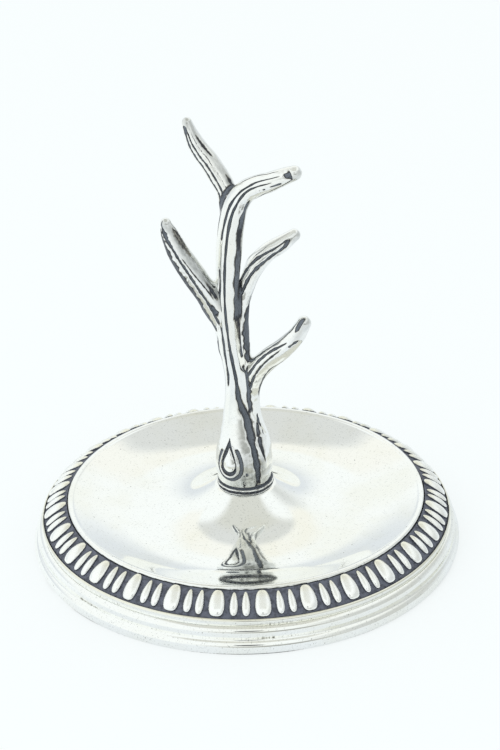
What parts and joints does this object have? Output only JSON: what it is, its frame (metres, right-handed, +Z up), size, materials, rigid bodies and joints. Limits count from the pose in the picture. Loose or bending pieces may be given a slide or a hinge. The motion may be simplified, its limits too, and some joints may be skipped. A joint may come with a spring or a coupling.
{
  "type": "ring tree",
  "caption": "Small branching tree for finger rings, standing on the raised middle of a round dish with a lobed border and a stepped foot rim.",
  "frame": {"origin": "centre of the foot, on the surface that the object stands on", "axes": "+Z up along the dish's axis, front towards -Y, the top branch curls over towards +X"},
  "size_m": [0.09, 0.09, 0.0919],
  "materials": {
    "polished_silver": "spun and mirror polished sterling silver, lightly worn",
    "oxidised_silver": "struck silver with polished lobes on a blackened ground",
    "cast_silver": "cast sterling silver, polished on the ridges and oxidised in the grooves",
    "fastener_steel": "plain turned steel"
  },
  "bodies": {
    "root": {"stepped_rim": "polished_silver", "lobed_border": "oxidised_silver", "dish": "polished_silver", "stem": "cast_silver", "branch_upper_left": "cast_silver", "branch_middle_left": "cast_silver", "branch_middle_right": "cast_silver", "branch_lower_right": "cast_silver", "stem_collar": "cast_silver", "stud": "fastener_steel", "washer": "fastener_steel", "nut": "fastener_steel"}
  },
  "joints": []
}
